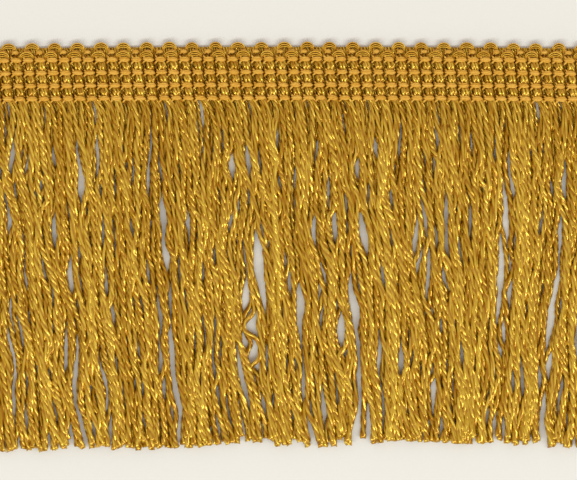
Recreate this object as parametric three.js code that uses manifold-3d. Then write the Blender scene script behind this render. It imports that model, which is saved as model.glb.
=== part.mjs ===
// Cut fringe trim: a flat length of crochet-knitted trimming, lying face up on a table.
// Millimetres, +Z up. X runs along the trim, +Y points from the cut ends to the heading,
// and the origin is on the table under the middle of the trim.
//
// The trim is a weft yarn laid to and fro across four knitted chains. At the top edge the weft turns
// back in two tiers of small loops. Below the last chain it hangs out as a skirt of twisted strands,
// which are cut level and have parted into uneven locks.

import * as THREE from "three";
import { mergeVertices } from "three/addons/utils/BufferGeometryUtils.js";
import Module from "manifold-3d";

const wasm = await Module();
wasm.setup();

// Driving dimensions of the trim
const OVERALL = 76.2; // from the loop tops to the longest cut end
const STITCH_PITCH = 2.27; // along a chain
const STITCHES = 54;
const ROW_PITCH = 2.43; // from chain to chain
const CHAIN_ROWS = 4;
const TOP_TO_FIRST_ROW = 3.2;
const BOW = 0.4; // how far the heading's ends lie below its middle
const WEFT_SLANT = 0.1; // sideways run of the weft for each millimetre down the heading
const CLEARANCE = 0.3; // between separate pieces
const BEND_SEGMENTS = 18; // straight pieces that follow the bow on a long flat face

const LENGTH = STITCH_PITCH * STITCHES;
const TOP_Y = OVERALL / 2;
const FIRST_ROW_Y = TOP_Y - TOP_TO_FIRST_ROW;
const LAST_ROW_Y = FIRST_ROW_Y - ROW_PITCH * (CHAIN_ROWS - 1);
const MIDDLE_ROW_Y = (FIRST_ROW_Y + LAST_ROW_Y) / 2;

// Weft band of the heading: ribs side by side, with a thin ledge behind the front loops
const RIB_TOP = 1.55;
const RIB_VALLEY = 0.95;
const LEDGE_TOP = 0.7;
const LEDGE_VALLEY = 0.5;
const BAND_TOP_Y = TOP_Y - 2.5;
const LEDGE_TOP_Y = TOP_Y - 1.35;

// Knitted chains
const CHAIN_BASE = RIB_TOP + CLEARANCE;
const CHAIN_HEIGHT = 0.75;
const CHAIN_WIDTH = 1.0;
const CHAIN_WAIST = 0.35; // share of the width and height that is left between two stitches

// Loops along the top edge: tier, loops to a stitch, where the loop's foot and crown are, where it lies
const LOOP_TIERS = [
  {
    name: "loop_edge_front",
    pitch: 2 * STITCH_PITCH,
    phase: 0.1,
    footY: TOP_Y - 1.8,
    rise: 0.45,
    thick: 0.7,
    base: LEDGE_TOP + CLEARANCE,
    height: 0.7,
  },
  {
    name: "loop_edge_back",
    pitch: 1.905 * STITCH_PITCH,
    phase: 0.35,
    footY: TOP_Y - 0.725,
    rise: 0.4,
    thick: 0.65,
    base: 0,
    height: 0.7,
  },
];
const LOOP_STATIONS = [0, 0.2, 0.5, 0.8]; // along one loop, as a share of its pitch

// Skirt of strands and the narrow strip that holds their roots under the last chain
const STRIP_WIDTH = 1.3;
const STRIP_TOP = RIB_TOP;
const STRAND_WIDTH = 0.95;
const STRAND_HEIGHT = 0.4;
const ROOT_RISE = 0.38; // from layer to layer in the strip
const LAYER_RISE = 0.5; // from layer to layer once the strands have spread
const TIP_RISE = 0.46;
const SPREAD_AT = 0.1; // share of a strand in which it spreads
const RAGGED = 1.9; // the most by which a cut end falls short
const WANDER = 0.9; // sideways drift of a lock at its tip
const LOCK_WIDTH = 7; // width over which neighbours drift together
const RIPPLE = 0.22; // waviness of a strand
const RIPPLES = 2.3; // waves along a strand

// The four strands of each stitch: layer from the table up, place across the stitch, steps along it
const STITCH_STRANDS = [
  { layer: 0, across: 0, steps: 5 },
  { layer: 1, across: -0.5, steps: 5 },
  { layer: 2, across: -0.25, steps: 6 },
  { layer: 3, across: 0.25, steps: 6 },
];

// How far the skirt is swept to the right, at a third, at two thirds and at the tips
const SWAY = [
  { across: -62, third: 1.5, twoThirds: 2.8, tip: 3.8 },
  { across: -45, third: 2.0, twoThirds: 3.6, tip: 5.2 },
  { across: -25, third: 1.8, twoThirds: 3.2, tip: 4.8 },
  { across: -12, third: 1.2, twoThirds: 1.8, tip: 3.6 },
  { across: 0, third: 1.7, twoThirds: 3.4, tip: 4.4 },
  { across: 12, third: 2.0, twoThirds: 3.5, tip: 3.8 },
  { across: 25, third: 1.4, twoThirds: 2.2, tip: 2.0 },
  { across: 40, third: 1.2, twoThirds: 0.6, tip: -0.9 },
  { across: 50, third: 0.8, twoThirds: -0.5, tip: -2.4 },
  { across: 62, third: -0.6, twoThirds: -1.6, tip: -2.8 },
];

// Partings where the table shows between the locks: middle across, middle down the skirt, length, width
const PARTINGS = [
  { across: -46.3, down: 18.3, length: 10.1, width: 1.0 },
  { across: -45.2, down: 49.1, length: 8.0, width: 0.7 },
  { across: -39.2, down: 2.8, length: 6.3, width: 0.7 },
  { across: -36.6, down: 56.5, length: 15.6, width: 1.2 },
  { across: -33.6, down: 38.0, length: 15.3, width: 1.0 },
  { across: -28.4, down: 9.5, length: 9.0, width: 0.6 },
  { across: -17.2, down: 21.5, length: 13.0, width: 0.8 },
  { across: -13.7, down: 52.6, length: 8.0, width: 1.3 },
  { across: -13.6, down: 31.5, length: 12.0, width: 0.8 },
  { across: -11.6, down: 15.1, length: 9.0, width: 1.1 },
  { across: -7.0, down: 46.0, length: 24.0, width: 2.4 },
  { across: -5.4, down: 28.6, length: 12.0, width: 1.8 },
  { across: -2.9, down: 7.8, length: 7.3, width: 1.2 },
  { across: 8.0, down: 20.5, length: 18.0, width: 1.2 },
  { across: 10.0, down: 46.3, length: 12.2, width: 1.7 },
  { across: 12.6, down: 14.4, length: 8.0, width: 1.2 },
  { across: 14.4, down: 25.8, length: 10.0, width: 1.4 },
  { across: 21.3, down: 50.5, length: 8.0, width: 0.8 },
  { across: 23.8, down: 26.9, length: 13.5, width: 1.1 },
  { across: 27.0, down: 54.5, length: 18.0, width: 1.1 },
  { across: 29.4, down: 34.1, length: 12.8, width: 1.2 },
  { across: 36.7, down: 16.4, length: 5.2, width: 1.0 },
  { across: 38.3, down: 32.4, length: 6.6, width: 0.8 },
  { across: 40.7, down: 43.0, length: 15.0, width: 0.9 },
  { across: 43.1, down: 12.6, length: 5.9, width: 1.1 },
  { across: 46.9, down: 24.4, length: 10.0, width: 1.1 },
  { across: 49.4, down: 49.4, length: 5.9, width: 0.8 },
];

// Top strands that stray across their neighbours: stitch, where they start and stop straying, how far
const STRAYS = [
  { stitch: 21, from: 4, to: 34, shift: 7.5 },
  { stitch: 22, from: 4, to: 34, shift: 7.3 },
  { stitch: 20, from: 30, to: 60, shift: 5.6 },
  { stitch: 34, from: 10, to: 24, shift: -2.4 },
  { stitch: 38, from: 44, to: 62, shift: 3.2 },
  { stitch: 44, from: 22, to: 40, shift: 2.6 },
  { stitch: 46, from: 8, to: 20, shift: 2.4 },
  { stitch: 9, from: 36, to: 60, shift: 2.2 },
];

// A repeatable number from 0 to 1 for each whole number and salt
function scatter(whole, salt) {
  const s = Math.sin(whole * 12.9898 + salt * 78.233) * 43758.5453;
  return s - Math.floor(s);
}

const ease = (f) => f * f * (3 - 2 * f);
const clamp01 = (f) => Math.min(1, Math.max(0, f));

// Smooth drift from -1 to 1 with one knot at each whole number
function drift(at, salt) {
  const cell = Math.floor(at);
  const f = ease(at - cell);
  return 2 * (scatter(cell, salt) * (1 - f) + scatter(cell + 1, salt) * f) - 1;
}

// The heading's own bend: its ends lie lower than its middle
const bowAt = (x) => -BOW * (2 * x / LENGTH) ** 2;
const slantAt = (y) => WEFT_SLANT * (MIDDLE_ROW_Y - y);
const stitchX = (stitch) => (stitch - (STITCHES - 1) / 2) * STITCH_PITCH;
const SKIRT_TOP_Y = LAST_ROW_Y - STRIP_WIDTH / 2;
const SKIRT_LENGTH = SKIRT_TOP_Y + TOP_Y;

// Sideways sweep of the skirt, eased between the rows of SWAY and a cubic down each strand
function sway(x, t) {
  const right = SWAY.slice(1).find((row) => row.across >= x) ?? SWAY.at(-1);
  const left = SWAY[SWAY.indexOf(right) - 1];
  const f = ease(clamp01((x - left.across) / (right.across - left.across)));
  const at = (column) => left[column] * (1 - f) + right[column] * f;
  return (
    13.5 * t * (t - 2 / 3) * (t - 1) * at("third") -
    13.5 * t * (t - 1 / 3) * (t - 1) * at("twoThirds") +
    4.5 * t * (t - 1 / 3) * (t - 2 / 3) * at("tip")
  );
}

// Push of every parting on a strand rooted at x: a lens that opens and closes again down the skirt
function partingPush(x, t) {
  let push = 0;
  for (const { across, down, length, width } of PARTINGS) {
    const middle = across - sway(across - sway(across, down / SKIRT_LENGTH), down / SKIRT_LENGTH);
    const lens = Math.max(0, 1 - ((t * SKIRT_LENGTH - down) / (length / 2)) ** 2);
    const reach = 1.2 + width;
    const away = x - middle;
    push += Math.sign(away) * (width / 2) * lens * Math.exp(-Math.abs(away) / reach);
  }
  return push;
}

// One strand as points from its root in the strip (t = 0) to its cut end (t = 1)
function strandPoint(stitch, { layer, across }, t) {
  const index = stitch * STITCH_STRANDS.length + layer;
  const root = stitchX(stitch) + slantAt(LAST_ROW_Y) + across * STITCH_PITCH;
  const tipY = -TOP_Y + RAGGED * scatter(index, 1) ** 2;
  const rootY = LAST_ROW_Y + bowAt(root);
  const y = rootY + (tipY - rootY) * t;
  const down = t * SKIRT_LENGTH;
  const stray = layer === 3 ? STRAYS.find((row) => row.stitch === stitch) : undefined;
  const strayed = stray ? ease(clamp01((down - stray.from) / (stray.to - stray.from))) : 0;
  const lifted = stray ? ease(clamp01(down / stray.from)) : 0;
  const ripple = Math.sin(2 * Math.PI * (RIPPLES * t + drift(root / LOCK_WIDTH, layer + 10)));
  const x =
    root +
    sway(root, t) +
    partingPush(root, t) +
    WANDER * t * drift(root / LOCK_WIDTH, layer) +
    RIPPLE * ripple * ease(clamp01(4 * t)) +
    (stray ? stray.shift * strayed : 0);
  const spread = ROOT_RISE + (LAYER_RISE - ROOT_RISE) * ease(clamp01(t / SPREAD_AT));
  const rise = spread + (TIP_RISE - LAYER_RISE) * t;
  return new THREE.Vector3(x, y, rise * (layer + lifted));
}

// A solid for joining and cutting, from any closed geometry
function solidFrom(geometry) {
  const bare = geometry.clone();
  bare.deleteAttribute("normal");
  bare.deleteAttribute("uv");
  const merged = mergeVertices(bare, 1e-4);
  return new wasm.Manifold(
    new wasm.Mesh({
      numProp: 3,
      vertProperties: new Float32Array(merged.attributes.position.array),
      triVerts: new Uint32Array(merged.index.array),
    }),
  );
}

function geometryFrom(solid) {
  const { vertProperties, triVerts } = solid.getMesh();
  const geometry = new THREE.BufferGeometry();
  geometry.setAttribute("position", new THREE.BufferAttribute(new Float32Array(vertProperties), 3));
  geometry.setIndex(new THREE.BufferAttribute(new Uint32Array(triVerts), 1));
  return geometry.toNonIndexed();
}

// Moves every point of a geometry
function reshape(geometry, move) {
  const position = geometry.getAttribute("position");
  const point = new THREE.Vector3();
  for (let i = 0; i < position.count; i++) {
    point.fromBufferAttribute(position, i);
    move(point);
    position.setXYZ(i, point.x, point.y, point.z);
  }
  return geometry;
}

// A bar with the given closed section, drawn in station steps: point.z is the step's number afterwards
function steppedBar(section, steps) {
  const shape = new THREE.Shape(section.map(([u, v]) => new THREE.Vector2(u, v)));
  return new THREE.ExtrudeGeometry(shape, { depth: steps, steps, bevelEnabled: false });
}

// The ribbed band of weft, with its thin ledge at the top
function weftBand() {
  const stations = [
    { y: LEDGE_TOP_Y, top: LEDGE_TOP, valley: LEDGE_VALLEY },
    { y: BAND_TOP_Y + 0.05, top: LEDGE_TOP, valley: LEDGE_VALLEY },
    { y: BAND_TOP_Y, top: RIB_TOP, valley: RIB_VALLEY },
    { y: LAST_ROW_Y + STRIP_WIDTH / 2 + CLEARANCE, top: RIB_TOP, valley: RIB_VALLEY },
  ];
  const last = stations.length - 1;
  const sheet = new THREE.BoxGeometry(LENGTH, last, 1, 2 * STITCHES, last, 1);
  return reshape(sheet, (p) => {
    const { y, top, valley } = stations[Math.round(last / 2 - p.y)];
    const column = Math.round((2 * p.x) / STITCH_PITCH) + STITCHES;
    const atEnd = column === 0 || column === 2 * STITCHES;
    const slant = atEnd ? 0 : slantAt(y);
    const height = column % 2 ? top : valley;
    p.set(p.x + slant, y + bowAt(p.x), p.z > 0 ? height : 0);
  });
}

// One knitted chain: a stitch swells at its middle and is nipped in where the next one begins
function chainRow(row) {
  const section = [
    [-0.5, 0],
    [0.5, 0],
    [0.3, 1],
    [-0.3, 1],
  ];
  const rowY = FIRST_ROW_Y - row * ROW_PITCH;
  return reshape(steppedBar(section, 2 * STITCHES), (p) => {
    const step = Math.round(p.z);
    const x = (step / 2 - STITCHES / 2) * STITCH_PITCH;
    const full = step % 2 ? 1 : CHAIN_WAIST;
    const atEnd = step === 0 || step === 2 * STITCHES;
    const slant = atEnd ? 0 : slantAt(rowY);
    p.set(x + slant, rowY + bowAt(x) + p.x * CHAIN_WIDTH * full, CHAIN_BASE + p.y * CHAIN_HEIGHT * full);
  });
}

// One tier of loops: a cord that rises and falls along the top edge
function loopTier({ pitch, phase, footY, rise, thick, base, height }) {
  const stops = [-LENGTH / 2];
  for (let loop = -1; loop < LENGTH / pitch + 1; loop++) {
    for (const share of LOOP_STATIONS) {
      const x = -LENGTH / 2 + (loop + phase + share) * pitch;
      if (Math.abs(x) < LENGTH / 2 - 0.2) stops.push(x);
    }
  }
  stops.push(LENGTH / 2);
  const section = [
    [-0.5, 0.5],
    [0, 0],
    [0.5, 0.5],
    [0, 1],
  ];
  return reshape(steppedBar(section, stops.length - 1), (p) => {
    const x = stops[Math.round(p.z)];
    const share = (x + LENGTH / 2) / pitch - phase;
    const crown = rise * Math.abs(Math.sin(Math.PI * share)) ** 0.8;
    p.set(x, footY + crown + bowAt(x) + p.x * thick, base + p.y * height);
  });
}

// All strands, with their roots fused into the strip under the last chain
function fringeSkirt() {
  const strip = reshape(
    new THREE.BoxGeometry(LENGTH, STRIP_WIDTH, STRIP_TOP, BEND_SEGMENTS, 1, 1),
    (p) => p.set(p.x, LAST_ROW_Y + p.y + bowAt(p.x), p.z + STRIP_TOP / 2),
  );
  const section = [
    [-0.5, 0],
    [0.5, 0],
    [0, 1],
  ];
  const strands = [];
  for (let stitch = 0; stitch < STITCHES; stitch++) {
    for (const strand of STITCH_STRANDS) {
      const bar = reshape(steppedBar(section, strand.steps), (p) => {
        const at = strandPoint(stitch, strand, p.z / strand.steps);
        p.set(at.x + p.x * STRAND_WIDTH, at.y, at.z + p.y * STRAND_HEIGHT);
      });
      strands.push(solidFrom(bar));
    }
  }
  return geometryFrom(wasm.Manifold.union([solidFrom(strip), ...strands]));
}

const rayon = new THREE.MeshStandardMaterial({ color: 0xb4862a, roughness: 0.38, metalness: 0.1 });
const chainYarn = new THREE.MeshStandardMaterial({ color: 0xd6a446, roughness: 0.75, metalness: 0 });
const loopYarn = new THREE.MeshStandardMaterial({ color: 0xc89a3a, roughness: 0.55, metalness: 0.05 });

const trim = new THREE.Group();
function place(name, geometry, material) {
  const mesh = new THREE.Mesh(geometry, material);
  mesh.name = name;
  trim.add(mesh);
}

place("fringe_skirt", fringeSkirt(), rayon);
place("weft_band", weftBand(), rayon);
for (let row = 0; row < CHAIN_ROWS; row++) {
  place(`chain_row_${row + 1}`, chainRow(row), chainYarn);
}
for (const tier of LOOP_TIERS) {
  place(tier.name, loopTier(tier), loopYarn);
}

export default trim;
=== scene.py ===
"""Dress a flat length of cut fringe trim yarn by yarn, on a pale floor seen from straight above.

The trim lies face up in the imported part's own frame: X along the trim, +Y towards its looped top edge,
+Z up. Every yarn is a section carried along a path. Sizes are in millimetres and become metres where a
mesh is made.
"""

from __future__ import annotations

import logging
from dataclasses import dataclass, field
from enum import Enum, IntEnum
from typing import NamedTuple, Union

import bpy
import numpy as np
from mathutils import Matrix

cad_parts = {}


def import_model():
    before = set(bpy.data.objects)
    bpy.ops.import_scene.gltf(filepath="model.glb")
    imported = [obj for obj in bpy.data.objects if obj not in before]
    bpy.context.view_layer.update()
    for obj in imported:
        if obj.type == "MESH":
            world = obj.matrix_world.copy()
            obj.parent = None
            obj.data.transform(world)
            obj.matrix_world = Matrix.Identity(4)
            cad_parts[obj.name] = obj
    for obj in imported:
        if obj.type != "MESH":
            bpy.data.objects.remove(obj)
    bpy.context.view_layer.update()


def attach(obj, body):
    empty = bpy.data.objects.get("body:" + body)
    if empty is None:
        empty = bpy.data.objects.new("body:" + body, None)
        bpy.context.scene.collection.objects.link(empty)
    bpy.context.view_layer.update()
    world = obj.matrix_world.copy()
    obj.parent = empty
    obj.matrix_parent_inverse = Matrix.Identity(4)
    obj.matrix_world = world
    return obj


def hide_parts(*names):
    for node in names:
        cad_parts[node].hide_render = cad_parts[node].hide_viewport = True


LOG = logging.getLogger("fringe_trim")
MM = 0.001
YARN_MAP = "yarn"
TINT = "tint"
QUAD = 4
# On the rayon this share gives the cut ends part of the painted groove shade.
CUT_END_SHARE = 0.05  # where round a yarn its cut ends take their tone

Array = np.ndarray
Colour = tuple[float, float, float, float]


class Slot(Enum):
    """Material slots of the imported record."""

    RAYON = "rayon_yarn"
    CHAIN = "chain_yarn"
    LOOP = "loop_yarn"


class Salt(IntEnum):
    """Salts that set one use of scatter apart from another."""

    CUT = 1
    CORD_SIZE = 5
    TWIST = 6
    FIRST_TURN = 7
    TINT = 8
    JAG = 9
    STITCH_WIDTH = 11
    STITCH_HEIGHT = 12
    STITCH_LEAN = 13
    THREAD_SIZE = 14
    CHAIN_TINT = 15
    LOOP_TINT = 16
    LOOP = 21
    LOCK_EDGE = 31
    OWN_START = 32
    LOCK_START = 33
    OWN_LEAN = 34
    LOCK_LEAN = 35
    KINK = 36
    SPLAY = 37
    PLY = 41


def linear(red: int, green: int, blue: int) -> Colour:
    """Turn a screen colour into the linear one that a shader takes, by the sRGB curve.

    Args:
        red: Red from 0 to 255.
        green: Green from 0 to 255.
        blue: Blue from 0 to 255.

    Returns:
        The linear colour with full alpha.
    """
    screen = np.array([red, green, blue]) / 255.0
    low, high = screen / 12.92, ((screen + 0.055) / 1.055) ** 2.4
    return (*np.where(screen <= 0.04045, low, high).tolist(), 1.0)


def ease(share: Array) -> Array:
    """Ease a share from 0 to 1 in and out: 3f^2 - 2f^3, held at both ends.

    Args:
        share: Shares of the way, which may lie outside 0 to 1.

    Returns:
        The eased shares.
    """
    held = np.clip(share, 0.0, 1.0)
    return held * held * (3.0 - 2.0 * held)


def scatter(whole: Array, salt: Array | float) -> Array:
    """Give a repeatable number from 0 to 1 for each whole number: the fraction of a large sine.

    Args:
        whole: Whole numbers, such as the index of a strand.
        salt: A number that sets one use apart from another.

    Returns:
        One number from 0 to 1 for each whole number.
    """
    large = np.sin(np.asarray(whole) * 12.9898 + salt * 78.233) * 43758.5453
    return large - np.floor(large)


def drift(at: Array, salt: Array | float) -> Array:
    """Give a smooth wander from -1 to 1, eased between random knots at whole numbers.

    Args:
        at: Places along the wander.
        salt: Numbers that set one wander apart from another.

    Returns:
        The wander at each place.
    """
    cell = np.floor(at)
    share = ease(at - cell)
    return 2.0 * (scatter(cell, salt) * (1.0 - share) + scatter(cell + 1.0, salt) * share) - 1.0


class SwayRow(NamedTuple):
    """How far the skirt is swept to the right, for strands rooted at one place."""

    across: float
    third: float
    two_thirds: float
    tip: float


class Parting(NamedTuple):
    """A lens-shaped gap between locks: its middle across, its middle down the skirt, and its size."""

    across: float
    down: float
    length: float
    width: float


class Stray(NamedTuple):
    """A top strand that crosses its neighbours: its stitch, where it starts and stops, and how far."""

    stitch: int
    start: float
    stop: float
    shift: float


class TipRow(NamedTuple):
    """How much shorter the cut is than usual, for strands that end at one place."""

    across: float
    shorter: float


SWAY = (
    SwayRow(-62, 1.5, 2.8, 3.8),
    SwayRow(-45, 2.0, 3.6, 5.2),
    SwayRow(-25, 1.8, 3.2, 4.8),
    SwayRow(-12, 1.2, 1.8, 3.6),
    SwayRow(0, 1.7, 3.4, 4.4),
    SwayRow(12, 2.0, 3.5, 3.8),
    SwayRow(25, 1.4, 2.2, 2.0),
    SwayRow(40, 1.2, 0.6, -0.9),
    SwayRow(50, 0.8, -0.5, -2.4),
    SwayRow(62, -0.6, -1.6, -2.8),
)

PARTINGS = (
    Parting(-46.3, 18.3, 10.1, 1.0),
    Parting(-45.2, 49.1, 8.0, 0.7),
    Parting(-39.2, 2.8, 6.3, 0.7),
    Parting(-36.6, 56.5, 15.6, 1.2),
    Parting(-33.6, 38.0, 15.3, 1.0),
    Parting(-28.4, 9.5, 9.0, 0.6),
    Parting(-17.2, 21.5, 13.0, 0.8),
    Parting(-13.7, 52.6, 8.0, 1.3),
    Parting(-13.6, 31.5, 12.0, 0.8),
    Parting(-11.6, 15.1, 9.0, 1.1),
    Parting(-7.0, 46.0, 24.0, 2.4),
    Parting(-5.4, 28.6, 12.0, 1.8),
    Parting(-2.9, 7.8, 7.3, 1.2),
    Parting(8.0, 20.5, 18.0, 1.2),
    Parting(10.0, 46.3, 12.2, 1.7),
    Parting(12.6, 14.4, 8.0, 1.2),
    Parting(14.4, 25.8, 10.0, 1.4),
    Parting(21.3, 50.5, 8.0, 0.8),
    Parting(23.8, 26.9, 13.5, 1.1),
    Parting(27.0, 54.5, 18.0, 1.1),
    Parting(29.4, 34.1, 12.8, 1.2),
    Parting(36.7, 16.4, 5.2, 1.0),
    Parting(38.3, 32.4, 6.6, 0.8),
    Parting(40.7, 43.0, 15.0, 0.9),
    Parting(43.1, 12.6, 5.9, 1.1),
    Parting(46.9, 24.4, 10.0, 1.1),
    Parting(49.4, 49.4, 5.9, 0.8),
)

STRAYS = (
    Stray(21, 4, 34, 7.5),
    Stray(22, 4, 34, 7.3),
    Stray(20, 30, 60, 5.6),
    Stray(34, 10, 24, -2.4),
    Stray(38, 44, 62, 3.2),
    Stray(44, 22, 40, 2.6),
    Stray(46, 8, 20, 2.4),
    Stray(9, 36, 60, 2.2),
)

TIP_LINE = (
    TipRow(-56, -1.1),
    TipRow(-45, -0.9),
    TipRow(-36, -0.1),
    TipRow(-30, -0.8),
    TipRow(-14, 0.0),
    TipRow(-8, 0.8),
    TipRow(3, -0.2),
    TipRow(10, 0.0),
    TipRow(20, 1.1),
    TipRow(30, 0.5),
    TipRow(43, 0.5),
    TipRow(49, -0.4),
    TipRow(56, -0.2),
)


@dataclass(frozen=True)
class TrimGauge:
    """Sizes that every part of the trim shares, in millimetres."""

    overall: float = 76.2
    stitch_pitch: float = 2.27
    stitches: int = 54
    row_pitch: float = 2.43
    chain_rows: int = 4
    top_to_first_row: float = 3.2
    bow: float = 0.4
    weft_slant: float = 0.1
    strip_width: float = 1.3

    @property
    def length(self) -> float:
        """Length of the trim along its heading."""
        return self.stitch_pitch * self.stitches

    @property
    def top_y(self) -> float:
        """Height of the loop tops above the middle of the trim."""
        return self.overall / 2.0

    @property
    def last_row_y(self) -> float:
        """Middle line of the lowest chain."""
        return self.row_y(self.chain_rows - 1)

    @property
    def skirt_length(self) -> float:
        """Length of the skirt from the lowest chain's edge to the longest cut end."""
        return self.last_row_y - self.strip_width / 2.0 + self.top_y

    def row_y(self, row: int) -> float:
        """Middle line of a chain, counted from the top edge."""
        return self.top_y - self.top_to_first_row - row * self.row_pitch

    def bow_at(self, x: Array) -> Array:
        """Bend of the heading: its ends lie lower than its middle, by a parabola."""
        return -self.bow * (2.0 * x / self.length) ** 2

    def slant_at(self, y: Array | float) -> Array | float:
        """Sideways run of the weft at a height in the heading."""
        middle = (self.row_y(0) + self.last_row_y) / 2.0
        return self.weft_slant * (middle - y)

    def stitch_x(self) -> Array:
        """Middle of every stitch along the trim."""
        return (np.arange(self.stitches) - (self.stitches - 1) / 2.0) * self.stitch_pitch


class Value:
    """A shader socket that Python's own operators work on."""

    def __init__(self, shader: YarnShader, socket: bpy.types.NodeSocket) -> None:
        """Keep the socket and the shader that adds nodes to it."""
        self.shader = shader
        self.socket = socket

    def __add__(self, other: Number) -> Value:
        """Add a number or a value."""
        return self.shader.maths("ADD", self, other)

    def __sub__(self, other: Number) -> Value:
        """Take away a number or a value."""
        return self.shader.maths("SUBTRACT", self, other)

    def __rsub__(self, other: Number) -> Value:
        """Take this value from a number."""
        return self.shader.maths("SUBTRACT", other, self)

    def __mul__(self, other: Number) -> Value:
        """Multiply by a number or a value."""
        return self.shader.maths("MULTIPLY", self, other)

    def __pow__(self, other: Number) -> Value:
        """Raise to a power."""
        return self.shader.maths("POWER", self, other)

    __radd__ = __add__
    __rmul__ = __mul__


Number = Union[Value, float]


class YarnShader:
    """One material under construction."""

    def __init__(self, name: str) -> None:
        """Start an empty material.

        Args:
            name: The material's name.
        """
        self.material = bpy.data.materials.new(name)
        self.material.use_nodes = True
        self.tree = self.material.node_tree
        self.tree.nodes.clear()

    def node(
        self,
        kind: str,
        settings: dict[str, object] | None = None,
        sockets: dict[str | int, object] | None = None,
    ) -> bpy.types.Node:
        """Add a node, set it up and feed its sockets.

        Args:
            kind: The node's type.
            settings: Properties of the node, set first.
            sockets: Values or links of its inputs, by name or place.

        Returns:
            The new node.
        """
        made = self.tree.nodes.new(kind)
        for key, setting in (settings or {}).items():
            setattr(made, key, setting)
        for key, fed in (sockets or {}).items():
            if isinstance(fed, Value):
                self.tree.links.new(fed.socket, made.inputs[key])
            else:
                made.inputs[key].default_value = fed
        return made

    def maths(self, operation: str, *terms: Number) -> Value:
        """Add a Math node.

        Args:
            operation: The node's operation.
            terms: Its inputs in order.

        Returns:
            The result.
        """
        made = self.node("ShaderNodeMath", {"operation": operation}, dict(enumerate(terms)))
        return Value(self, made.outputs[0])

    def blend(self, share: Number, first: object, second: object) -> Value:
        """Mix two colours.

        Args:
            share: How much of the second colour there is, from 0 to 1.
            first: The first colour or value.
            second: The second colour or value.

        Returns:
            The mixed colour.
        """
        made = self.node(
            "ShaderNodeMix",
            {"data_type": "RGBA", "clamp_factor": True},
            {0: share, 6: first, 7: second},
        )
        return Value(self, made.outputs[2])

    def tint(self) -> Value:
        """Read the random number that every yarn carries."""
        return Value(self, self.node("ShaderNodeAttribute", {"attribute_name": TINT}).outputs["Fac"])

    def around_and_along(self) -> tuple[Value, Value]:
        """Read the yarn map: the share of the way round the yarn, and the millimetres along it."""
        uv = self.node("ShaderNodeUVMap", {"uv_map": YARN_MAP})
        parted = self.node("ShaderNodeSeparateXYZ", None, {0: Value(self, uv.outputs[0])})
        return Value(self, parted.outputs[0]), Value(self, parted.outputs[1])

    def noise(self, x: Number, y: Number, z: Number, detail: float = 1.0) -> Value:
        """Read a noise from 0 to 1 at three coordinates.

        Args:
            x: First coordinate.
            y: Second coordinate.
            z: Third coordinate.
            detail: Octaves of finer noise.

        Returns:
            The noise.
        """
        point = self.node("ShaderNodeCombineXYZ", None, {0: x, 1: y, 2: z})
        made = self.node(
            "ShaderNodeTexNoise",
            None,
            {"Vector": Value(self, point.outputs[0]), "Scale": 1.0, "Detail": detail},
        )
        return Value(self, made.outputs["Fac"])

    def bump(self, height: Value, distance: float, strength: float) -> Value:
        """Turn a height into a bumped normal.

        Args:
            height: Height from 0 to 1.
            distance: What a height of 1 stands for, in millimetres.
            strength: How much of it shows.

        Returns:
            The normal.
        """
        made = self.node(
            "ShaderNodeBump",
            None,
            {"Height": height, "Distance": distance * MM, "Strength": strength},
        )
        return Value(self, made.outputs[0])

    def finish(self, **sockets: object) -> bpy.types.Material:
        """Close the material with one Principled surface.

        Args:
            sockets: The surface's inputs, with underscores for blanks.

        Returns:
            The finished material.
        """
        fed = {key.replace("_", " "): value for key, value in sockets.items()}
        surface = self.node("ShaderNodeBsdfPrincipled", None, fed)
        self.node("ShaderNodeOutputMaterial", None, {"Surface": Value(self, surface.outputs[0])})
        return self.material


class Grain(NamedTuple):
    """A noise on a yarn: its fineness round the yarn and along each millimetre, its seed and octaves."""

    around: float
    along: float
    seed: float
    detail: float = 1.0


@dataclass(frozen=True)
class RayonFinish:
    """Lustrous dyed filament yarn of several plies, with painted shade in the grooves between them."""

    name: str
    dark_and_shade: Colour
    gold: Colour
    light: Colour
    plies: int = 3
    roughness: float = 0.18
    roughness_spread: float = 0.2
    metallic: float = 0.55
    gloss: float = 0.6
    bundles: Grain = Grain(1.6, 0.45, 91.0)
    slubs: Grain = Grain(2.0, 0.3, 29.0)
    filaments: Grain = Grain(9.0, 0.7, 47.0, 2.0)
    drift_along: float = 0.45
    drift_seed: float = 57.0
    drift_plane: float = 3.0
    tone_start: float = -0.4
    tone_by_yarn: float = 0.6
    tone_by_drift: float = 0.9
    tone_by_bundle: float = 1.3
    # Painted shade in the ply grooves: how sharply and how strongly the dark colour fills them.
    groove_curve: float = 0.6
    groove_shade: float = 0.7
    slub_height: float = 0.75
    filament_height: float = 0.12
    relief: float = 0.34
    relief_strength: float = 0.8

    def material(self) -> bpy.types.Material:
        """Make the material: painted shade in the grooves, filaments and a tone that drifts from ply to
        ply.

        Returns:
            The material.
        """
        shader = YarnShader(self.name)
        around, along = shader.around_and_along()
        tint = shader.tint()
        crest = 0.5 - shader.maths("COSINE", around * (2.0 * np.pi * self.plies)) * 0.5
        bundles, slubs, filaments = (
            shader.noise(
                around * (grain.around * self.plies), along * grain.along, tint * grain.seed, grain.detail
            )
            for grain in (self.bundles, self.slubs, self.filaments)
        )
        drifting = shader.noise(along * self.drift_along, tint * self.drift_seed, self.drift_plane)
        tone = tint * self.tone_by_yarn + drifting * self.tone_by_drift + self.tone_start
        tone = tone + (bundles - 0.5) * self.tone_by_bundle
        body = shader.blend(tone, self.gold, self.light)
        # Painted shade: the grooves between plies take the dark colour, as shade that falls there.
        lit = crest**self.groove_curve * self.groove_shade + (1.0 - self.groove_shade)
        height = slubs * self.slub_height + filaments * self.filament_height
        return shader.finish(
            Base_Color=shader.blend(lit, self.dark_and_shade, body),
            Roughness=self.roughness + (filaments - 0.5) * self.roughness_spread,
            Metallic=self.metallic,
            Specular_IOR_Level=self.gloss,
            Normal=shader.bump(height, self.relief, self.relief_strength),
        )


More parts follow.
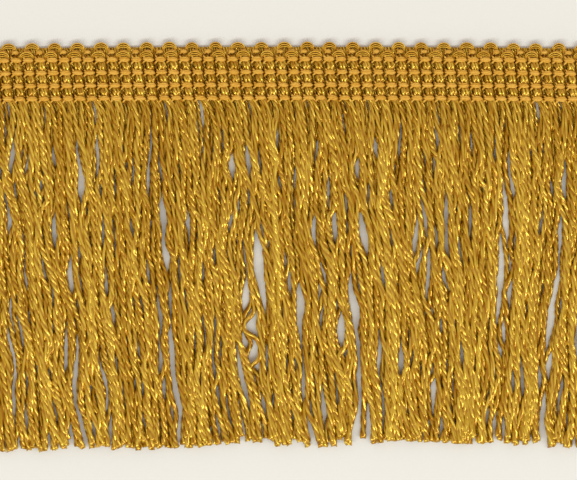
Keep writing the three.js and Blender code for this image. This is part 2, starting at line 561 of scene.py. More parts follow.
@dataclass(frozen=True)
class SpunFinish:
    """Matte spun yarn with a soft, slightly hairy surface."""

    name: str
    dark_and_shade: Colour
    body: Colour
    light: Colour
    roughness: float = 0.75
    roughness_spread: float = 0.2
    metallic: float = 0.0
    gloss: float = 0.2
    fibres: Grain = Grain(9.0, 2.2, 83.0, 2.0)
    fibre_twist: float = 5.0
    tone_start: float = 0.15
    tone_by_yarn: float = 0.6
    tone_by_fibre: float = 0.9
    cover: float = 1.7
    relief: float = 0.06
    relief_strength: float = 0.6

    def material(self) -> bpy.types.Material:
        """Make the material: twisted fibres and a tone that drifts from yarn to yarn.

        A yarn whose tint is below nought shows the dark colour almost all over, as painted shade for
        yarns that lie in the shade of others.

        Returns:
            The material.
        """
        shader = YarnShader(self.name)
        around, along = shader.around_and_along()
        tint = shader.tint()
        grain = self.fibres
        turned = around * grain.around + along * self.fibre_twist
        fibres = shader.noise(turned, along * grain.along, tint * grain.seed, grain.detail)
        tone = tint * self.tone_by_yarn + (fibres - 0.5) * self.tone_by_fibre + self.tone_start
        # Dark fibres at random; a tint below nought paints the whole yarn in shade with the dark colour.
        shown = fibres * self.cover + shader.maths("MINIMUM", tint, 0.0)
        colour = shader.blend(shown, self.dark_and_shade, shader.blend(tone, self.body, self.light))
        return shader.finish(
            Base_Color=colour,
            Roughness=self.roughness + (fibres - 0.5) * self.roughness_spread,
            Metallic=self.metallic,
            Specular_IOR_Level=self.gloss,
            Normal=shader.bump(fibres, self.relief, self.relief_strength),
        )


# Dark colours: on the rayon the painted shade of the ply grooves; on the spun yarns dark fibres at
# random, and on the loops also the painted shade of the sunk threads.
RAYON = RayonFinish("rayon cord", linear(152, 75, 4), linear(189, 147, 22), linear(246, 213, 80))
CHAIN = SpunFinish("chain yarn", linear(182, 102, 8), linear(216, 164, 53), linear(238, 194, 90))
LOOP = SpunFinish(
    "loop yarn",
    linear(128, 68, 5),
    linear(214, 161, 38),
    linear(246, 204, 80),
    roughness=0.42,
    metallic=0.4,
)


def smooth_path(knots: Array, count: int) -> Array:
    """Run a Catmull-Rom curve through knots: each span's slopes come from the knots beside it.

    Args:
        knots: Points of shape (..., knots, 3).
        count: Points wanted along the curve.

    Returns:
        Points of shape (..., count, 3).
    """
    spans = knots.shape[-2] - 1
    at = np.linspace(0.0, spans, count)
    first = np.minimum(at.astype(int), spans - 1)
    f = (at - first)[:, None]
    before, after = np.maximum(first - 1, 0), np.minimum(first + 2, spans)
    p0, p1 = knots[..., before, :], knots[..., first, :]
    p2, p3 = knots[..., first + 1, :], knots[..., after, :]
    linear_part = (p2 - p0) * f
    square_part = (2.0 * p0 - 5.0 * p1 + 4.0 * p2 - p3) * f**2
    cube_part = (3.0 * p1 - p0 - 3.0 * p2 + p3) * f**3
    return p1 + 0.5 * (linear_part + square_part + cube_part)


def carry(paths: Array, radius: Array, angle: Array, reference: Array) -> Array:
    """Carry a section along paths: ring = path + radius * (cos angle * side + sin angle * up).

    Side is the reference made square to the path, and up is square to both.

    Args:
        paths: Middle lines of shape (yarns, rings, 3).
        radius: Section radii that broadcast to (yarns, rings, points).
        angle: Section angles that broadcast to (yarns, rings, points).
        reference: A direction that no path follows.

    Returns:
        Ring points of shape (yarns, rings, points, 3).
    """
    tangent = np.gradient(paths, axis=1)
    tangent /= np.linalg.norm(tangent, axis=-1, keepdims=True)
    side = reference - tangent * np.sum(tangent * reference, axis=-1, keepdims=True)
    side /= np.linalg.norm(side, axis=-1, keepdims=True)
    up = np.cross(tangent, side)
    out = (radius * np.cos(angle))[..., None] * side[:, :, None, :]
    out = out + (radius * np.sin(angle))[..., None] * up[:, :, None, :]
    return paths[:, :, None, :] + out


@dataclass
class YarnBundle:
    """Closed yarns of one piece: rings of points, the way along each, and each yarn's own tint."""

    rings: Array
    tint: Array

    def _along(self) -> Array:
        """Millimetres along each yarn at every ring, of shape (yarns, rings)."""
        middle = self.rings.mean(axis=2)
        steps = np.linalg.norm(np.diff(middle, axis=1), axis=-1)
        return np.concatenate([np.zeros((len(steps), 1)), np.cumsum(steps, axis=1)], axis=1)

    def _loops(self) -> tuple[Array, Array, Array]:
        """Work out the corners of every face.

        Sides are quads between neighbouring rings, and each end is closed by one flat face.

        Returns:
            The corners' point numbers, their shares round the yarn, and each face's corner count.
        """
        yarns, rings, points = self.rings.shape[:3]
        number = np.arange(yarns * rings * points).reshape(yarns, rings, points)
        turned = np.roll(number, -1, axis=2)
        quads = np.stack([number[:, :-1], turned[:, :-1], turned[:, 1:], number[:, 1:]], axis=-1)
        share = np.arange(points) / points
        corner = np.stack([share, share + 1.0 / points, share + 1.0 / points, share], axis=-1)
        around = np.broadcast_to(corner, quads.shape)
        caps = np.concatenate([number[:, 0, ::-1], number[:, -1, :]])
        cap_around = np.full(caps.shape, CUT_END_SHARE)
        corners = np.concatenate([quads.ravel(), caps.ravel()])
        shares = np.concatenate([around.ravel(), cap_around.ravel()])
        counts = np.concatenate([np.full(quads[..., 0].size, QUAD), np.full(len(caps), points)])
        return corners, shares, counts

    def piece(self, name: str, material: bpy.types.Material) -> bpy.types.Object:
        """Make the yarns into one object at the origin.

        Args:
            name: The piece's name.
            material: Its finish.

        Returns:
            The object, linked into the scene.
        """
        corners, shares, counts = self._loops()
        starts = np.concatenate([[0], np.cumsum(counts)[:-1]])
        mesh = bpy.data.meshes.new(name)
        mesh.vertices.add(self.rings.size // 3)
        mesh.vertices.foreach_set("co", (self.rings * MM).astype(np.float32).ravel())
        mesh.loops.add(len(corners))
        mesh.loops.foreach_set("vertex_index", corners.astype(np.int32))
        mesh.polygons.add(len(counts))
        mesh.polygons.foreach_set("loop_start", starts.astype(np.int32))
        mesh.polygons.foreach_set("loop_total", counts.astype(np.int32))
        mesh.polygons.foreach_set("use_smooth", counts == QUAD)
        along = np.repeat(self._along().ravel(), self.rings.shape[2])
        uv = np.stack([shares, along[corners]], axis=-1).astype(np.float32)
        mesh.uv_layers.new(name=YARN_MAP).data.foreach_set("uv", uv.ravel())
        tints = np.repeat(self.tint, self.rings.shape[1] * self.rings.shape[2]).astype(np.float32)
        mesh.attributes.new(TINT, "FLOAT", "POINT").data.foreach_set("value", tints)
        mesh.materials.append(material)
        mesh.update(calc_edges=True)
        made = bpy.data.objects.new(name, mesh)
        bpy.context.scene.collection.objects.link(made)
        return made


@dataclass(frozen=True)
class PliedCord:
    """A cord of round plies twisted together, slanting like the middle of an S."""

    plies: int = 3
    ply_radius: float = 0.31
    ply_offset: float = 0.24
    ply_angles: tuple[float, ...] = (-60.0, -21.0, 21.0)
    ply_unevenness: float = 0.12
    ply_run: float = 7.0
    ply_shift: float = 40.0
    ply_salt: float = 0.37
    lead: float = 5.9
    loosest: float = 0.7
    twist_spread: float = 0.6
    slack: float = 1.2
    slack_run: float = 5.0
    slack_salt: float = 0.5

    @property
    def radius(self) -> float:
        """Reach of the cord from its middle line."""
        return self.ply_radius + self.ply_offset

    def section(self) -> tuple[Array, Array]:
        """Work out the outline of touching round plies: c cos a + sqrt(r^2 - c^2 sin^2 a) for each.

        Returns:
            The outline's angles and radii.
        """
        own = np.tile(np.radians(self.ply_angles), self.plies)
        turned = np.repeat(2.0 * np.pi * np.arange(self.plies) / self.plies, len(self.ply_angles))
        inside = np.sqrt(self.ply_radius**2 - (self.ply_offset * np.sin(own)) ** 2)
        return own + turned, self.ply_offset * np.cos(own) + inside

    def rings(self, paths: Array, index: Array, swell: Array) -> Array:
        """Twist the section along cords that run down the trim.

        Each ply's radius drifts along the cord, and the twist runs faster and slower.

        Args:
            paths: Middle lines of shape (cords, rings, 3), running towards -Y.
            index: Each cord's number, which sets its own twist and unevenness.
            swell: Scale of the section, of shape (cords, rings).

        Returns:
            Ring points of shape (cords, rings, points, 3).
        """
        y = paths[..., 1]
        angle, radius = self.section()
        ply = np.arange(len(angle)) // len(self.ply_angles)
        number = index[:, None, None] * self.plies + ply[None, None, :]
        at = y[..., None] / self.ply_run + self.ply_shift * scatter(number, Salt.PLY)
        uneven = 1.0 + self.ply_unevenness * drift(at, number * self.ply_salt)
        tightness = self.loosest + self.twist_spread * scatter(index, Salt.TWIST)[:, None]
        slack = self.slack * drift(y / self.slack_run, index[:, None] + self.slack_salt)
        first_turn = scatter(index, Salt.FIRST_TURN)[:, None]
        turn = 2.0 * np.pi * ((y * tightness + slack) / self.lead + first_turn)
        return carry(
            paths,
            radius * uneven * swell[..., None],
            angle + turn[..., None],
            np.array([1.0, 0.0, 0.0]),
        )


@dataclass
class FringeSkirt:
    """The cut strands below the heading, in layers that lie on one another."""

    gauge: TrimGauge
    cord: PliedCord = field(default_factory=PliedCord)
    rings: int = 151
    blocks: int = 6
    ragged: float = 1.9
    wander: float = 0.9
    lock_width: float = 7.0
    ripple: float = 0.22
    ripples: float = 2.3
    ripple_free: float = 0.25
    ripple_salt: int = 10
    meander: float = 1.54
    meander_knot: float = 11.0
    meander_free: float = 0.2
    knot_shift: float = 3.0
    lock_stitches: float = 1.5
    lock_ragged: float = 0.6
    lock_share: float = 0.5
    lock_salt: float = 900.0
    own_salt: float = 40.0
    own_lean: float = 2.0
    kink: float = 0.48
    kink_knot: float = 4.2
    kink_salt: float = 0.7
    crossing: float = 0.2
    push_reach: float = 1.2
    layer_across: tuple[float, ...] = (0.0, -0.5, -0.25, 0.25, 0.62)
    bunched_across: tuple[float, ...] = (0.12, -0.1, 0.0, 0.28, 0.6)
    layer_height: tuple[float, ...] = (0.0, 1.0, 2.0, 3.0, -1.0)
    shown_layers: int = 4
    bunch_share: float = 0.12
    thinnest: float = 0.92
    thickness_spread: float = 0.16
    root_swell: float = 0.78
    pile: float = 1.1
    splay: float = 0.9
    splay_least: float = 0.3
    splay_spread: float = 1.2
    splay_share: float = 0.25
    splay_curve: float = 0.6
    tip_flare: float = 0.16
    flare_share: float = 0.03
    tip_jag: float = 0.4
    jag_back: float = 0.6
    bedding: float = 0.95
    lie_apart: float = 0.9
    lie_settle: float = 0.6
    hold_rings: int = 3
    smooth_rings: float = 3.0
    smooth_reach: int = 9
    root_height: float = 1.45
    clear_of_floor: float = 0.02

    def _sway(self, x: Array, t: Array) -> Array:
        """Sweep of the skirt, eased between the rows of SWAY.

        Down each strand it is Lagrange's cubic through the root, the two thirds and the tip.

        Args:
            x: Root places of shape (n, 1).
            t: Shares of the way down that broadcast with x.

        Returns:
            The sweep to the right.
        """
        rows = np.array(SWAY)
        right = np.clip(np.searchsorted(rows[1:, 0], x) + 1, 1, len(rows) - 1)
        low, high = rows[right - 1], rows[right]
        share = ease((x - low[..., 0]) / (high[..., 0] - low[..., 0]))[..., None]
        third, two_thirds, tip = np.moveaxis(low[..., 1:] * (1.0 - share) + high[..., 1:] * share, -1, 0)
        return (
            13.5 * t * (t - 2 / 3) * (t - 1) * third
            - 13.5 * t * (t - 1 / 3) * (t - 1) * two_thirds
            + 4.5 * t * (t - 1 / 3) * (t - 2 / 3) * tip
        )

    def _parting_push(self, x: Array, t: Array) -> Array:
        """Push of every parting: half its width times a lens down the skirt, fading sideways.

        Args:
            x: Root places of shape (n, 1).
            t: Shares of the way down of shape (1, m).

        Returns:
            The push to the right, of shape (n, m).
        """
        push = np.zeros(np.broadcast_shapes(x.shape, t.shape))
        for across, down, length, width in PARTINGS:
            share = np.array([[down / self.gauge.skirt_length]])
            place = np.array([[across]])
            middle = across - self._sway(place - self._sway(place, share), share)
            lens = np.maximum(0.0, 1.0 - ((t * self.gauge.skirt_length - down) / (length / 2.0)) ** 2)
            away = x - middle
            fade = np.exp(-np.abs(away) / (self.push_reach + width))
            push += np.tanh(away / self.crossing) * (width / 2.0) * lens * fade
        return push

    def _meander(self, root: Array, t: Array, index: Array) -> Array:
        """Wander of each strand from its straight run: half with its lock and half its own.

        Args:
            root: Root places of shape (n, 1).
            t: Shares of the way down of shape (1, m).
            index: Numbers of the strands, of shape (n, 1).

        Returns:
            The wander to the right, of shape (n, m).
        """
        knots = t * self.gauge.skirt_length / self.meander_knot
        edge = self.lock_ragged * scatter(index, Salt.LOCK_EDGE)
        lock = np.floor(root / self.gauge.stitch_pitch / self.lock_stitches + edge)
        own_start = self.knot_shift * scatter(index, Salt.OWN_START)
        own = drift(knots + own_start, index + self.own_salt)
        lock_start = self.knot_shift * scatter(lock, Salt.LOCK_START)
        shared = drift(knots + lock_start, lock + self.lock_salt)
        wander = self.meander * (self.lock_share * shared + (1.0 - self.lock_share) * own)
        lean = self.own_lean * (scatter(index, Salt.OWN_LEAN) + scatter(lock, Salt.LOCK_LEAN) - 1.0)
        kinks = t * self.gauge.skirt_length / self.kink_knot
        kink_start = self.knot_shift * scatter(index, Salt.KINK)
        kinked = self.kink * drift(kinks + kink_start, index + self.kink_salt)
        return (wander + kinked) * ease(t / self.meander_free) + lean * t

    def _plan(self) -> tuple[Array, Array, Array]:
        """Lay every strand out as seen from above.

        Returns:
            Places across and along, both of shape (strands, rings), and each strand's layer, with the
            strands that stray counted as one layer higher.
        """
        gauge = self.gauge
        layers = len(self.layer_across)
        layer = np.tile(np.arange(layers), gauge.stitches)
        stitch = np.repeat(np.arange(gauge.stitches), layers)
        shown = stitch * self.shown_layers + layer
        index = np.where(layer < self.shown_layers, shown, self.shown_layers * gauge.stitches + stitch)
        start = gauge.stitch_x()[stitch] + gauge.slant_at(gauge.last_row_y)
        end = gauge.length / 2.0 - self.cord.radius
        shares = np.array([self.layer_across, self.bunched_across])[:, layer]
        root, bunched = np.clip(start + shares * gauge.stitch_pitch, -end, end)[..., None]
        t = np.linspace(0.0, 1.0, self.rings)[None, :]
        cut = np.interp(root + self._sway(root, np.ones((1, 1))), *np.array(TIP_LINE).T)
        tip_y = -gauge.top_y + cut + self.ragged * scatter(index, Salt.CUT)[:, None] ** 2
        root_y = gauge.last_row_y + gauge.bow_at(root)
        phase = drift(root / self.lock_width, layer[:, None] + self.ripple_salt)
        wave = np.sin(2.0 * np.pi * (self.ripples * t + phase))
        loose = root + self._meander(root, t, index[:, None])
        x = loose + self._sway(root, t) + self._parting_push(loose, t)
        x += self.wander * t * drift(root / self.lock_width, layer[:, None])
        x += self.ripple * wave * ease(t / self.ripple_free)
        x += (bunched - root) * (1.0 - ease(t / self.bunch_share))
        swing = self.splay * (self.splay_least + self.splay_spread * scatter(stitch, Salt.SPLAY))
        x += swing[:, None] * np.sin(np.pi * np.clip(t / self.splay_share, 0.0, 1.0) ** self.splay_curve)
        height = np.array(self.layer_height)[layer]
        for stray in STRAYS:
            own = (stitch == stray.stitch) & (layer == self.shown_layers - 1)
            down = t * gauge.skirt_length
            x[own] += stray.shift * ease((down - stray.start) / (stray.stop - stray.start))
            height[own] += 1.0
        return x, root_y + (tip_y - root_y) * t, height

    def _lie(self, x: Array, layer: Array) -> Array:
        """Let every strand lie on those below it, like round bars, and smooth it along its length.

        Args:
            x: Places across, of shape (strands, rings).
            layer: Each strand's layer, lowest first.

        Returns:
            Heights of the strands' middle lines, of shape (strands, rings).
        """
        floor = self.cord.radius * self.bedding
        order = np.argsort(layer, kind="stable")
        z = np.full(x.shape, floor)
        reach = np.arange(-self.smooth_reach, self.smooth_reach + 1)
        kernel = np.exp(-0.5 * (reach / self.smooth_rings) ** 2)
        kernel /= kernel.sum()
        window = 2 * self.hold_rings + 1
        for place, strand in enumerate(order):
            under = order[:place]
            apart = np.abs(x[under] - x[strand])
            step = np.sqrt(np.maximum(self.lie_apart**2 - apart**2, 0.0)) * self.lie_settle
            held = np.where(apart < self.lie_apart, z[under] + step, floor)
            raw = np.maximum(floor, held.max(axis=0, initial=floor))
            padded = np.pad(raw, self.hold_rings, mode="edge")
            wide = np.lib.stride_tricks.sliding_window_view(padded, window).max(axis=-1)
            z[strand] = np.convolve(np.pad(wide, self.smooth_reach, mode="edge"), kernel, mode="valid")
        z = floor + self.pile * np.tanh((z - floor) / self.pile)
        t = np.linspace(0.0, 1.0, self.rings)
        free = ease(t / self.bunch_share)
        return np.minimum(z, self.root_height) * (1.0 - free) + z * free

    def build(self, material: bpy.types.Material) -> list[bpy.types.Object]:
        """Make the strands, a block of stitches to a piece.

        Args:
            material: The strands' finish.

        Returns:
            The pieces.
        """
        x, y, layer = self._plan()
        paths = np.stack([x, y, self._lie(x, layer)], axis=-1)
        index = np.arange(len(x))
        t = np.linspace(0.0, 1.0, self.rings)
        swell = self.root_swell + (1.0 - self.root_swell) * ease(t / self.bunch_share)
        swell = swell + self.tip_flare * ease((t - (1.0 - self.flare_share)) / self.flare_share)
        size = self.thinnest + self.thickness_spread * scatter(index, Salt.CORD_SIZE)
        rings = self.cord.rings(paths, index, swell * size[:, None])
        jagged = index[:, None] * rings.shape[2] + np.arange(rings.shape[2])
        rings[:, -1, :, 1] += self.tip_jag * (scatter(jagged, Salt.JAG) - self.jag_back)
        lowest = rings[..., 2].min(axis=2, keepdims=True)
        rings[..., 2] += np.maximum(self.clear_of_floor - lowest, 0.0)
        tint = scatter(index, Salt.TINT)
        made = []
        for block, part in enumerate(np.array_split(index, self.blocks)):
            piece = YarnBundle(rings[part], tint[part]).piece(f"fringe_strands_{block + 1}", material)
            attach(piece, "root")
            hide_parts("fringe_skirt")
            made.append(piece)
        return made


@dataclass(frozen=True)
class WeftFace:
    """Sizes of the cords on one face of the heading; places across are shares of a stitch."""

    name: str
    across: tuple[float, ...]
    nipped: float
    height: float
    rise: float
    swell: float
    below_top: float
    dive: float
    rings: int


WEFT_FACES = (
    WeftFace(
        name="weft_cords_front",
        across=(-0.04, 0.24),
        nipped=0.6,
        height=1.1,
        rise=0.85,
        swell=0.82,
        below_top=2.0,
        dive=0.6,
        rings=49,
    ),
    WeftFace(
        name="weft_cords_back",
        across=(0.1, 0.36, 0.6, 0.84),
        nipped=1.0,
        height=0.66,
        rise=0.0,
        swell=0.66,
        below_top=0.85,
        dive=0.26,
        rings=25,
    ),
)


@dataclass
class WeftBand:
    """The heading's weft: a bundle of cords to a stitch in front, and cords behind in the gaps."""

    gauge: TrimGauge
    cord: PliedCord = field(default_factory=lambda: PliedCord(lead=3.4))
    front_middle: float = 0.1
    foot: float = 0.35
    dive_run: float = 0.9
    nipped_swell: float = 0.9
    index_offset: int = 1000

    def _cords(self, face: WeftFace) -> tuple[Array, Array]:
        """Lay out the cords of one face of the heading, swelling up between the chains.

        Args:
            face: The face's sizes.

        Returns:
            Middle lines of shape (cords, rings, 3) and the section's scale of shape (cords, rings).
        """
        gauge = self.gauge
        stitch = np.repeat(gauge.stitch_x(), len(face.across))[:, None]
        across = np.tile(face.across, gauge.stitches)[:, None]
        y = np.linspace(gauge.top_y - face.below_top, gauge.last_row_y - self.foot, face.rings)[None, :]
        beat = np.pi * (gauge.row_y(0) - y) / gauge.row_pitch
        bulge = np.abs(np.sin(beat))
        spread = face.nipped + (1.0 - face.nipped) * bulge
        x = stitch + (self.front_middle + (across - self.front_middle) * spread) * gauge.stitch_pitch
        x = np.clip(x + gauge.slant_at(y), -gauge.length / 2.0, gauge.length / 2.0)
        dive = ease((y - gauge.row_y(0)) / self.dive_run) * (face.dive + face.rise * bulge)
        z = np.broadcast_to(face.height + face.rise * bulge - dive, x.shape)
        swell = face.swell * (self.nipped_swell + (1.0 - self.nipped_swell) * bulge)
        return np.stack([x, y + gauge.bow_at(x), z], axis=-1), np.broadcast_to(swell, x.shape)

    def build(self, material: bpy.types.Material) -> list[bpy.types.Object]:
        """Make the front and back cords.

        Args:
            material: Their finish.

        Returns:
            The two pieces.
        """
        made = []
        for number, face in enumerate(WEFT_FACES):
            paths, swell = self._cords(face)
            index = np.arange(len(paths)) + self.index_offset * (number + 1)
            rings = self.cord.rings(paths, index, swell)
            piece = YarnBundle(rings, scatter(index, Salt.TINT)).piece(face.name, material)
            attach(piece, "root")
            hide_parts("weft_band")
            made.append(piece)
        return made


class StitchThread(NamedTuple):
    """A thread of a stitch, knot by knot: shares of the pitch along, and millimetres across and up."""

    along: tuple[float, ...]
    across: tuple[float, ...]
    height: tuple[float, ...]


UPPER_THREAD = StitchThread(
    along=(-0.42, -0.38, -0.24, 0.02, 0.26, 0.38, 0.42),
    across=(0.04, 0.09, 0.21, 0.28, 0.23, 0.12, 0.05),
    height=(1.3, 1.8, 2.04, 2.14, 2.04, 1.75, 1.3),
)
MIDDLE_THREAD = StitchThread(
    along=(-0.48, -0.43, -0.3, 0.0, 0.3, 0.42, 0.46),
    across=(0.03, 0.02, 0.0, 0.0, -0.01, -0.02, -0.02),
    height=(1.3, 1.85, 2.14, 2.26, 2.14, 1.85, 1.3),
)
LOWER_THREAD = StitchThread(
    along=(-0.42, -0.38, -0.22, 0.02, 0.24, 0.37, 0.41),
    across=(-0.03, -0.09, -0.22, -0.28, -0.25, -0.14, -0.07),
    height=(1.3, 1.8, 2.04, 2.14, 2.04, 1.75, 1.3),
)
UPPER_LEG = StitchThread(
    along=(-0.28, -0.35, -0.41, -0.45, -0.48, -0.49, -0.5),
    across=(0.18, 0.3, 0.42, 0.52, 0.6, 0.64, 0.66),
    height=(1.8, 1.88, 1.84, 1.7, 1.4, 1.1, 0.8),
)
LOWER_LEG = StitchThread(
    along=(-0.24, -0.33, -0.41, -0.48, -0.53, -0.55, -0.56),
    across=(-0.2, -0.34, -0.48, -0.6, -0.7, -0.75, -0.78),
    height=(1.85, 1.96, 1.96, 1.84, 1.55, 1.2, 0.8),
)
BAR_THREADS = (UPPER_THREAD, MIDDLE_THREAD, LOWER_THREAD)
LEG_THREADS = (UPPER_LEG, LOWER_LEG)


@dataclass
class ChainRows:
    """The knitted chains that bind the weft: each stitch a bar of three threads with two legs."""

    gauge: TrimGauge
    bar_radius: float = 0.19
    leg_radius: float = 0.185
    points: int = 6
    rings: int = 13
    thinnest: float = 0.92
    thickness_spread: float = 0.16
    unevenness: float = 0.07
    bar_length: float = 0.84
    bar_shift: float = 0.02
    tilt: float = -0.05
    hidden_rise: float = 1.5
    hidden_drop: float = 0.95
    hidden_size: float = 0.66
    hidden_offset: int = 700
    row_offset: int = 100
    yarn_offset: int = 2000
    end_reach: float = 0.2
    end_squeeze: float = 0.001
    clear_of_floor: float = 0.02

    def _knots(self, row_y: float, drop: float, size: float, index: Array) -> Array:
        """Place the knots of every thread of one chain.

        Args:
            row_y: The chain's middle line.
            drop: How much lower than the usual it lies.
            size: Scale of its stitches.
            index: Numbers of its stitches.

        Returns:
            Knots of shape (threads, knots, 3).
        """
        gauge = self.gauge
        shares, offsets, heights = np.moveaxis(np.array(BAR_THREADS + LEG_THREADS), 1, 0)
        wide = size * (1.0 + self.unevenness * (2.0 * scatter(index, Salt.STITCH_WIDTH) - 1.0))
        tall = size * (1.0 + 2.0 * self.unevenness * (2.0 * scatter(index, Salt.STITCH_HEIGHT) - 1.0))
        lean = self.tilt + self.unevenness * (2.0 * scatter(index, Salt.STITCH_LEAN) - 1.0)
        x0 = gauge.stitch_x() + gauge.slant_at(row_y) + self.bar_shift * gauge.stitch_pitch
        along = shares * self.bar_length * gauge.stitch_pitch * wide[:, None, None]
        across = offsets * tall[:, None, None] + lean[:, None, None] * along
        x = x0[:, None, None] + along
        y = row_y + gauge.bow_at(x) + across
        low = self.bar_radius + self.clear_of_floor
        z = np.broadcast_to(np.maximum(heights - drop, low), x.shape)
        knots = np.stack([x, y, z], axis=-1).reshape(-1, shares.shape[1], 3)
        end = gauge.length / 2.0 + self.end_reach
        inside = np.clip(knots[..., 0], -end, end)
        knots[..., 0] = inside + self.end_squeeze * (knots[..., 0] - inside)
        return knots

    def build(self, material: bpy.types.Material) -> list[bpy.types.Object]:
        """Make one piece for each chain; the first has the half-hidden chain above it too.

        Args:
            material: The chains' finish.

        Returns:
            The pieces, from the top edge down.
        """
        gauge = self.gauge
        angle = 2.0 * np.pi * np.arange(self.points) / self.points
        made = []
        for row in range(gauge.chain_rows):
            stitch = np.arange(gauge.stitches) + self.row_offset * (row + 1)
            knots = self._knots(gauge.row_y(row), 0.0, 1.0, stitch)
            if row == 0:
                above = gauge.row_y(0) + self.hidden_rise
                number = stitch + self.hidden_offset
                hidden = self._knots(above, self.hidden_drop, self.hidden_size, number)
                knots = np.concatenate([knots, hidden])
            thread = np.arange(len(knots)) % len(BAR_THREADS + LEG_THREADS)
            yarn = np.arange(len(knots)) + self.yarn_offset * (row + 1)
            size = self.thinnest + self.thickness_spread * scatter(yarn, Salt.THREAD_SIZE)
            radius = np.where(thread < len(BAR_THREADS), self.bar_radius, self.leg_radius) * size
            paths = smooth_path(knots, self.rings)
            rings = carry(paths, radius[:, None, None], angle[None, None, :], np.array([0.0, 1.0, 0.0]))
            tint = scatter(yarn, Salt.CHAIN_TINT)
            piece = YarnBundle(rings, tint).piece(f"chain_stitches_{row + 1}", material)
            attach(piece, "root")
            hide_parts(f"chain_row_{row + 1}")
            made.append(piece)
        return made


@dataclass(frozen=True)
class LoopTier:
    """Sizes of one tier of loops: stitches to a loop, and its crown and feet below the trim's top."""

    name: str
    node: str
    stitches: float
    phase: float
    crown_below: float
    foot_below: float
    crown_z: float
    foot_z: float
    half_width: float = 1.05
    thread_radius: float = 0.115
    thread_step: float = 0.19
    thread_sunk: float = 0.25


LOOP_TIERS = (
    LoopTier(
        name="loops_front",
        node="loop_edge_front",
        stitches=2.0,
        phase=0.1,
        crown_below=2.1,
        foot_below=2.72,
        crown_z=1.95,
        foot_z=1.4,
    ),
    LoopTier(
        name="loops_back",
        node="loop_edge_back",
        stitches=1.905,
        phase=0.3,
        crown_below=0.42,
        foot_below=1.2,
        crown_z=1.25,
        foot_z=0.8,
    ),
)


@dataclass
class LoopEdge:
    """The two tiers of small loops where the weft turns back at the top edge."""

    gauge: TrimGauge
    rings: int = 17
    points: int = 6
    threads: int = 5
    foot_share: float = 0.4
    crown_curve: float = 0.7
    tail: float = 0.2
    tail_draw: float = 0.4
    tail_drop: float = 3.2
    tail_dip: float = 1.6
    unevenness: float = 0.09
    loop_offset: int = 50
    thread_offset: int = 1000
    sunk_shade_tint: float = -1.2
    clear_of_floor: float = 0.02

    def _threads(self, tier: LoopTier, number: int) -> Array:
        """Arch three threads side by side over each loop, with two more sunk between them.

        The middle line is half an ellipse with both ends drawn out downwards into tails.

        Args:
            tier: The tier's sizes.
            number: The tier's place in the list.

        Returns:
            Middle lines of shape (threads, rings, 3).
        """
        gauge = self.gauge
        pitch = tier.stitches * gauge.stitch_pitch
        crown_y, foot_y = gauge.top_y - tier.crown_below, gauge.top_y - tier.foot_below
        count = int(gauge.length / pitch)
        loop = np.arange(count)
        middle = (loop - (count - 1) / 2.0 + tier.phase) * pitch
        counted = loop[:, None] + self.loop_offset * number
        uneven = self.unevenness * (2.0 * scatter(counted, np.arange(3) + Salt.LOOP) - 1.0)
        share = np.linspace(-self.tail, 1.0 + self.tail, self.rings)
        held = np.clip(share, 0.0, 1.0)
        below = np.abs(share - held)
        cosine, sine = -np.cos(np.pi * held), np.sin(np.pi * held)
        thread = np.arange(self.threads)
        close = self.foot_share + (1.0 - self.foot_share) * sine
        steps = (thread - (self.threads - 1) / 2.0)[:, None] * tier.thread_step * close
        sunk = thread % 2 * tier.thread_sunk
        wide = tier.half_width * (1.0 + uneven[:, 0, None, None]) + steps[None]
        tall = (crown_y - foot_y) * (1.0 + uneven[:, 1, None, None]) + steps[None]
        shifted = middle[:, None, None] + uneven[:, 2, None, None]
        x = shifted + wide * cosine * (1.0 - self.tail_draw * below)
        y = foot_y + tall * sine - self.tail_drop * below
        rise = tier.crown_z - tier.foot_z
        z = tier.foot_z + rise * sine**self.crown_curve - self.tail_dip * below - sunk[None, :, None]
        z = np.maximum(z, tier.thread_radius + self.clear_of_floor)
        y, z = np.broadcast_to(y, x.shape), np.broadcast_to(z, x.shape)
        return np.stack([x, y + gauge.bow_at(x), z], axis=-1).reshape(-1, self.rings, 3)

    def build(self, material: bpy.types.Material) -> list[bpy.types.Object]:
        """Make one piece for each tier.

        Args:
            material: The loops' finish.

        Returns:
            The pieces.
        """
        made = []
        for number, tier in enumerate(LOOP_TIERS):
            paths = self._threads(tier, number)
            angle = 2.0 * np.pi * np.arange(self.points) / self.points
            radius = np.full((len(paths), 1, 1), tier.thread_radius)
            rings = carry(paths, radius, angle[None, None, :], np.array([0.0, 0.0, 1.0]))
            thread = np.arange(len(paths))
            tint = scatter(thread + self.thread_offset * number, Salt.LOOP_TINT)
            # Painted shade: the sunk threads get a tint below nought, which turns them the loop yarn's
            # dark colour.
            tint = np.where(thread % self.threads % 2 == 1, self.sunk_shade_tint, tint)
            piece = YarnBundle(rings, tint).piece(tier.name, material)
            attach(piece, "root")
            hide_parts(tier.node)
            made.append(piece)
        return made


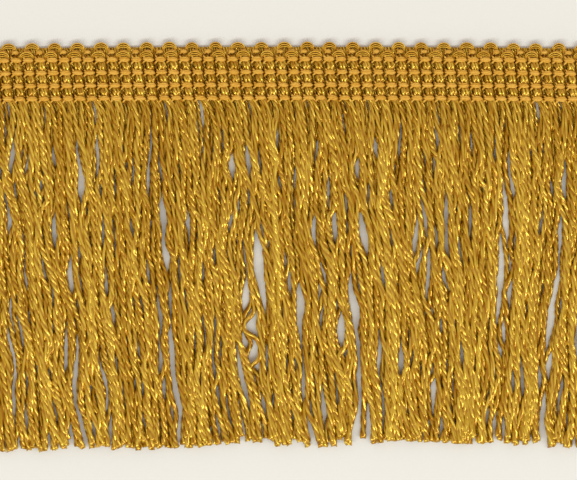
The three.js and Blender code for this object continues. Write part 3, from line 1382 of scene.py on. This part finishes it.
@dataclass
class Studio:
    """Pale floor, soft light from beyond the cut ends, and a camera straight above."""

    view_width: float = 108.87
    view_middle_y: float = 0.75
    trim_height: float = 1.5
    lens: float = 300.0
    sensor: float = 36.0
    clip_start: float = 5.0
    floor_side: float = 3000.0
    floor_colour: Colour = (0.785, 0.785, 0.745, 1.0)
    floor_shade: float = 0.98
    floor_grain: float = 900.0
    floor_roughness: float = 0.85
    key_power: float = 28.6
    key_distance: float = 1800.0
    key_size: tuple[float, float] = (3600.0, 400.0)
    key_from: tuple[float, float, float] = (0.1, -0.58, 1.0)
    key_colour: tuple[float, float, float] = (0.91, 1.0, 1.0)
    fill_colour: Colour = (1.0, 0.87, 0.8, 1.0)
    fill_strength: float = 0.68

    def _floor(self) -> None:
        """Lay the floor: one flat face with a faint grain in its tone."""
        half = self.floor_side * MM / 2.0
        mesh = bpy.data.meshes.new("floor")
        corners = [[-half, -half, 0.0], [half, -half, 0.0], [half, half, 0.0], [-half, half, 0.0]]
        mesh.from_pydata(corners, [], [[0, 1, 2, 3]])
        shader = YarnShader("pale floor")
        place = shader.node("ShaderNodeTexCoord")
        grain = shader.node(
            "ShaderNodeTexNoise",
            None,
            {"Vector": Value(shader, place.outputs["Object"]), "Scale": self.floor_grain, "Detail": 2.0},
        )
        darker = tuple(self.floor_shade * part for part in self.floor_colour[:3]) + (1.0,)
        tone = shader.blend(Value(shader, grain.outputs["Fac"]), darker, self.floor_colour)
        mesh.materials.append(shader.finish(Base_Color=tone, Roughness=self.floor_roughness))
        floor = bpy.data.objects.new("floor", mesh)
        bpy.context.scene.collection.objects.link(floor)

    def _lights(self) -> None:
        """Add a long key light that rakes from the cut ends, and an even fill from all round."""
        lamp = bpy.data.lights.new("key", "AREA")
        lamp.shape = "RECTANGLE"
        lamp.size, lamp.size_y = (side * MM for side in self.key_size)
        lamp.energy = self.key_power
        lamp.color = self.key_colour
        key = bpy.data.objects.new("key", lamp)
        toward = np.array(self.key_from) / np.linalg.norm(self.key_from)
        key.rotation_euler = (np.arccos(toward[2]), 0.0, np.arctan2(toward[0], -toward[1]))
        key.location = tuple(toward * self.key_distance * MM)
        bpy.context.scene.collection.objects.link(key)
        world = bpy.data.worlds.new("studio")
        world.use_nodes = True
        sky = world.node_tree.nodes["Background"]
        sky.inputs["Color"].default_value = self.fill_colour
        sky.inputs["Strength"].default_value = self.fill_strength
        bpy.context.scene.world = world

    def _camera(self) -> None:
        """Hang a long lens straight above, framed on the photographed stretch of the trim."""
        lens = bpy.data.cameras.new("camera")
        lens.lens = self.lens
        lens.sensor_width = self.sensor
        lens.clip_start = self.clip_start * MM
        camera = bpy.data.objects.new("camera", lens)
        height = self.view_width * self.lens / self.sensor + self.trim_height
        camera.location = (0.0, self.view_middle_y * MM, height * MM)
        bpy.context.scene.collection.objects.link(camera)
        bpy.context.scene.camera = camera

    def build(self) -> None:
        """Set the stage."""
        self._camera()
        self._floor()
        self._lights()
        bpy.context.scene.view_settings.view_transform = "Standard"


def main() -> None:
    """Load the frame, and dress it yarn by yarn."""
    logging.basicConfig(level=logging.INFO, format="%(message)s")
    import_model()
    gauge = TrimGauge()
    Studio().build()
    rayon, chain, loop = RAYON.material(), CHAIN.material(), LOOP.material()
    pieces = FringeSkirt(gauge).build(rayon)
    pieces += WeftBand(gauge).build(rayon)
    pieces += ChainRows(gauge).build(chain)
    pieces += LoopEdge(gauge).build(loop)
    for piece in pieces:
        LOG.info("%s: %d faces", piece.name, len(piece.data.polygons))


if __name__ == "__main__":
    main()
